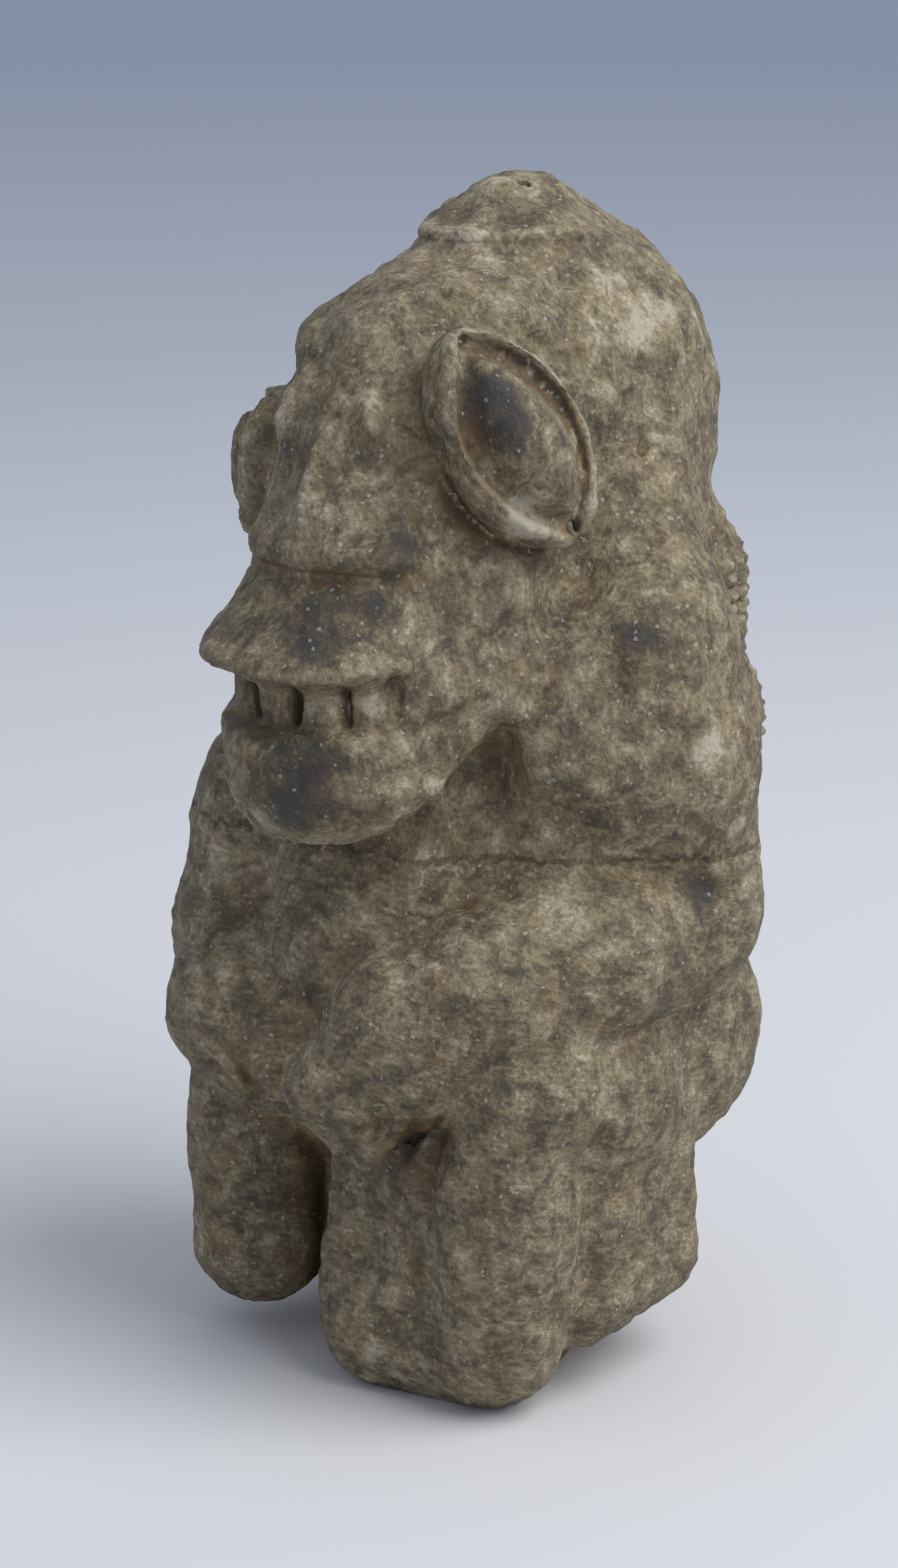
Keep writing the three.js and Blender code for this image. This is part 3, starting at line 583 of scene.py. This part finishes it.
def add_attribute(mesh, name, values):
    kind = "FLOAT" if values.ndim == 1 else "FLOAT_VECTOR"
    layer = mesh.attributes.new(name, kind, "POINT")
    layer.data.foreach_set("value" if values.ndim == 1 else "vector", values.astype(np.float32).ravel())


def node(tree, kind, inputs=None, **settings):
    made = tree.nodes.new("ShaderNode" + kind)
    for key, value in settings.items():
        setattr(made, key, value)
    for key, value in (inputs or {}).items():
        if isinstance(value, bpy.types.NodeSocket):
            tree.links.new(value, made.inputs[key])
        else:
            made.inputs[key].default_value = value
    return made


def noise_node(tree, vector, scale, detail=4.0, rough=0.55, lacunarity=2.0, distortion=0.0):
    inputs = {"Vector": vector, "Scale": scale, "Detail": detail, "Roughness": rough, "Lacunarity": lacunarity, "Distortion": distortion}
    return node(tree, "TexNoise", inputs).outputs["Fac"]


def remap(tree, value, low, high, to_low=0.0, to_high=1.0):
    inputs = {"Value": value, "From Min": low, "From Max": high, "To Min": to_low, "To Max": to_high}
    return node(tree, "MapRange", inputs, clamp=True).outputs["Result"]


def math_node(tree, operation, a, b, clamp=False):
    return node(tree, "Math", {0: a, 1: b}, operation=operation, use_clamp=clamp).outputs[0]


def mix(tree, factor, a, b, how="MIX"):
    made = node(tree, "Mix", {"Factor": factor}, data_type="RGBA", blend_type=how)
    for slot, value in ((6, a), (7, b)):
        if isinstance(value, bpy.types.NodeSocket):
            tree.links.new(value, made.inputs[slot])
        else:
            made.inputs[slot].default_value = (*value, 1)
    return made.outputs[2]


def attribute(tree, name, output="Fac"):
    return node(tree, "Attribute", attribute_name=name).outputs[output]


SLATE = (0.046, 0.041, 0.037)
DUSK = (0.078, 0.062, 0.041)
OLIVE = (0.138, 0.112, 0.068)
TAN = (0.245, 0.203, 0.128)
PALE = (0.40, 0.36, 0.28)
OCHRE = (0.19, 0.105, 0.038)
# Near-black painted shade for the deepest recesses
RECESS_SHADE = (0.030, 0.020, 0.011)


def stone_material():
    material = bpy.data.materials.new("weathered soapstone")
    material.use_nodes = True
    tree = material.node_tree
    tree.nodes.clear()
    place = node(tree, "TexCoord").outputs["Object"]
    grain = attribute(tree, "grain", "Vector")
    cavity = attribute(tree, "cavity")
    edge = attribute(tree, "edge")
    slate = attribute(tree, "slate")
    pale = attribute(tree, "pale")

    broad = noise_node(tree, place, 75, 5, 0.6, distortion=0.4)
    patches = noise_node(tree, place, 210, 6, 0.68, distortion=0.6)
    grit = noise_node(tree, place, 1100, 4, 0.7)
    sand = noise_node(tree, place, 3200, 2, 0.6)
    streaks = noise_node(tree, grain, 1.0, 4, 0.6)

    tone = math_node(tree, "ADD", math_node(tree, "MULTIPLY", patches, 0.75), math_node(tree, "MULTIPLY", grit, 0.45))
    tone = math_node(tree, "ADD", tone, math_node(tree, "MULTIPLY", broad, 0.35))
    tone = math_node(tree, "ADD", tone, math_node(tree, "MULTIPLY", streaks, 0.28))
    tone = math_node(tree, "ADD", tone, math_node(tree, "MULTIPLY", edge, 0.16))
    tone = math_node(tree, "ADD", tone, math_node(tree, "MULTIPLY", pale, 0.35))
    tone = math_node(tree, "SUBTRACT", tone, math_node(tree, "MULTIPLY", slate, 0.30))
    ramp = node(tree, "ValToRGB", {"Fac": remap(tree, tone, 0.69, 1.13)})
    stops = ramp.color_ramp.elements
    stops[0].position, stops[0].color = 0.0, (*SLATE, 1)
    stops[1].position, stops[1].color = 1.0, (*PALE, 1)
    for position, colour in ((0.26, DUSK), (0.46, OLIVE), (0.72, TAN)):
        stops.new(position).color = (*colour, 1)
    colour = ramp.outputs["Color"]

    rust = noise_node(tree, place, 130, 5, 0.65, distortion=0.5)
    dirt = math_node(tree, "MULTIPLY", remap(tree, cavity, 0.25, 0.8), remap(tree, rust, 0.35, 0.62))
    stain = math_node(tree, "MULTIPLY", remap(tree, rust, 0.56, 0.72), 0.45)
    colour = mix(tree, math_node(tree, "MAXIMUM", math_node(tree, "MULTIPLY", dirt, 0.75), stain), colour, OCHRE)
    # Painted shade: the deepest recesses are darkened towards near black, where little light reaches
    colour = mix(tree, remap(tree, cavity, 0.55, 1.0, 0.0, 0.8), colour, RECESS_SHADE)
    colour = mix(tree, remap(tree, sand, 0.3, 0.75, 0.0, 0.35), colour, (0.5, 0.47, 0.4), "OVERLAY")
    flecks = node(tree, "TexVoronoi", {"Vector": place, "Scale": 1700.0}).outputs["Color"]
    fleck = remap(tree, node(tree, "SeparateColor", {"Color": flecks}).outputs[0], 0.982, 0.992)
    colour = mix(tree, math_node(tree, "MULTIPLY", fleck, 0.4), colour, (0.5, 0.48, 0.43))

    rough = remap(tree, math_node(tree, "ADD", patches, math_node(tree, "MULTIPLY", grit, 0.5)), 0.45, 1.0, 0.5, 0.85)
    rough = math_node(tree, "SUBTRACT", rough, math_node(tree, "MULTIPLY", slate, 0.14), clamp=True)

    height = math_node(tree, "ADD", math_node(tree, "MULTIPLY", patches, 0.55), math_node(tree, "MULTIPLY", grit, 0.5))
    height = math_node(tree, "ADD", height, math_node(tree, "MULTIPLY", sand, 0.16))
    height = math_node(tree, "ADD", height, math_node(tree, "MULTIPLY", streaks, 0.45))
    bump = node(tree, "Bump", {"Strength": 0.8, "Distance": 0.0011, "Height": height}).outputs["Normal"]

    shader = node(tree, "BsdfPrincipled", {"Base Color": colour, "Roughness": rough, "Normal": bump})
    shader.inputs["Specular IOR Level"].default_value = 0.35
    node(tree, "OutputMaterial", {"Surface": shader.outputs[0]})
    return material


# Soft blotches of the stone, as centre, radius and strength
SLATE_BLOTCHES = [
    ((32, -25, 190), 9, 1.0),
    ((10, -46, 152), 12, 0.7),
    ((20, -36, 166), 8, 0.9),
    ((5, -52, 122), 16, 0.6),
    ((-22, -40, 186), 8, 0.6),
    ((41, 5, 146), 7, 0.8),
    ((46, 16, 92), 12, 0.7),
    ((33, 20, 214), 14, 0.5),
    ((-14, -46, 76), 14, 0.3),
]
PALE_BLOTCHES = [
    ((44, 14, 126), 13, 0.7),
    ((36, -22, 170), 7, 0.6),
    ((20, -48, 137), 4, 1.0),
    ((30, 18, 205), 14, 0.5),
    ((40, -10, 92), 12, 0.4),
]


def blotches(listed, p, wobble):
    total = np.zeros_like(p[0])
    for centre, radius, strength in listed:
        away = np.sqrt(sum((p[i] - centre[i]) ** 2 for i in range(3))) + wobble
        total = np.maximum(total, strength * ease(radius, radius * 0.3, away))
    return total


def grain_coordinates(p, normal):
    """Coordinates that run slowly along the carver's strokes and fast across them, one per millimetre."""
    x, y, z = p
    along_arm = (x * 0.55 - y * 0.75 + z * 0.2) * 0.09
    across_arm = z * 1.05 + y * 0.25
    along = np.where(z > 105, z * 0.16, along_arm)
    across = np.where(z > 105, (x - y) * 0.8, across_arm)
    return np.stack([along, across, (x + y) * 0.3], 1)


def figure_piece():
    values, axes = sample(figure)
    points, faces = surface(values, axes)
    p = split(points)
    normal = gradient(figure, p)
    push = roughness_relief(p) * ease(0.0, 1.5, p[2])
    points = points + np.stack(normal, 1) * push[:, None]
    points[:, 2] = np.maximum(points[:, 2], 0)
    mesh = thinned(make_mesh("carving", points, faces), FACES)
    place = np.empty(len(mesh.vertices) * 3, np.float32)
    mesh.vertices.foreach_get("co", place)
    place = place.reshape(-1, 3)
    p = split(place)
    normal = gradient(figure, p)
    near = figure([p[i] + normal[i] * 3 for i in range(3)])
    far = figure([p[i] + normal[i] * 9 for i in range(3)])
    inner = figure([p[i] - normal[i] * 2.5 for i in range(3)])
    # How enclosed each point is: it places the ochre dirt and also the painted shade in deep recesses
    cavity = np.clip(1 - near / 3, 0, 1) * 0.6 + np.clip(1 - far / 9, 0, 1) * 0.55
    edge = np.clip(1 + inner / 2.5, 0, 1)
    wobble = 4 * noise(noise_table(7), p, 9) + 2.5 * noise(noise_table(8), p, 4)
    add_attribute(mesh, "cavity", cavity)
    add_attribute(mesh, "edge", edge)
    add_attribute(mesh, "slate", blotches(SLATE_BLOTCHES, p, wobble))
    add_attribute(mesh, "pale", blotches(PALE_BLOTCHES, p, wobble))
    add_attribute(mesh, "grain", grain_coordinates(p, normal))
    place = (place - np.array([MIDDLE[0], MIDDLE[1], 0], np.float32)) * MM
    mesh.vertices.foreach_set("co", place.astype(np.float32).ravel())
    mesh.polygons.foreach_set("use_smooth", np.ones(len(mesh.polygons), bool))
    mesh.update()
    piece = bpy.data.objects.new("carved_figure", mesh)
    bpy.context.scene.collection.objects.link(piece)
    mesh.materials.append(stone_material())
    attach(piece, "root")
    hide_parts("figure")
    return piece


# Stage
FLOOR_RADIUS = 9.0
# The floor's colour by distance from the middle: paper grey near the figure, darker and bluer further out, as painted
# fall-off of the light over the paper sweep
FLOOR_TONES = [
    (0.0, (0.60, 0.60, 0.60)),
    (0.35, (0.60, 0.60, 0.61)),
    (1.25, (0.49, 0.52, 0.56)),
    (3.5, (0.41, 0.45, 0.53)),
    (9.0, (0.46, 0.51, 0.60)),
]


def floor():
    sides = 96
    ring = [(FLOOR_RADIUS * math.cos(t), FLOOR_RADIUS * math.sin(t), 0) for t in np.linspace(0, 2 * math.pi, sides, endpoint=False)]
    mesh = bpy.data.meshes.new("floor")
    mesh.from_pydata(ring, [], [list(range(sides))])
    material = bpy.data.materials.new("paper floor")
    material.use_nodes = True
    tree = material.node_tree
    shader = tree.nodes["Principled BSDF"]
    place = node(tree, "TexCoord").outputs["Object"]
    away = node(tree, "VectorMath", {0: place}, operation="LENGTH").outputs["Value"]
    # Painted fall-off of light: the floor colour darkens with distance from the middle
    ramp = node(tree, "ValToRGB", {"Fac": remap(tree, away, 0, FLOOR_RADIUS)})
    stops = ramp.color_ramp.elements
    stops[0].color = (*FLOOR_TONES[0][1], 1)
    stops[1].position, stops[1].color = 1.0, (*FLOOR_TONES[-1][1], 1)
    for radius, colour in FLOOR_TONES[1:-1]:
        stops.new(radius / FLOOR_RADIUS).color = (*colour, 1)
    tree.links.new(ramp.outputs["Color"], shader.inputs["Base Color"])
    shader.inputs["Roughness"].default_value = 0.9
    shader.inputs["Specular IOR Level"].default_value = 0.2
    mesh.materials.append(material)
    piece = bpy.data.objects.new("floor", mesh)
    bpy.context.scene.collection.objects.link(piece)


def light(name, azimuth, elevation, distance, size, power, colour=(1, 1, 1)):
    data = bpy.data.lights.new(name, "AREA")
    data.shape = "DISK"
    data.size = size
    data.energy = power
    data.color = colour
    lamp = bpy.data.objects.new(name, data)
    bpy.context.scene.collection.objects.link(lamp)
    lamp.location, lamp.rotation_euler = looking(azimuth, elevation, distance)


def looking(azimuth, elevation, distance, target=(0, 0, 0.112)):
    """Place and turn of something that looks at the target. Azimuth 0 looks along +Y."""
    a, e = math.radians(azimuth), math.radians(elevation)
    away = Vector((math.sin(a) * math.cos(e), -math.cos(a) * math.cos(e), math.sin(e)))
    place = Vector(target) + away * distance
    return place, (-away).to_track_quat("-Z", "Y").to_euler()


def world():
    made = bpy.data.worlds.new("soft room")
    made.use_nodes = True
    background = made.node_tree.nodes["Background"]
    background.inputs["Color"].default_value = (0.80, 0.86, 1.0, 1)
    background.inputs["Strength"].default_value = 0.66
    bpy.context.scene.world = made


CAMERA = dict(azimuth=40, elevation=15, distance=0.7, pixels_per_mm=8.6, height=112)
PHOTO_HEIGHT = 2542
SENSOR = 36.0


def camera():
    data = bpy.data.cameras.new("camera")
    data.sensor_fit = "AUTO"
    data.sensor_width = SENSOR
    data.lens = CAMERA["pixels_per_mm"] * CAMERA["distance"] / MM / PHOTO_HEIGHT * SENSOR
    data.clip_start = 0.05
    data.clip_end = 50
    target = (-MIDDLE[0] * MM, -MIDDLE[1] * MM, CAMERA["height"] * MM)
    view = bpy.data.objects.new("camera", data)
    bpy.context.scene.collection.objects.link(view)
    view.location, view.rotation_euler = looking(CAMERA["azimuth"], CAMERA["elevation"], CAMERA["distance"], target)
    bpy.context.scene.camera = view


camera()
world()
light("key", 100, 48, 1.6, 1.5, 27)
floor()
figure_piece()
bpy.context.scene.view_settings.view_transform = "Standard"
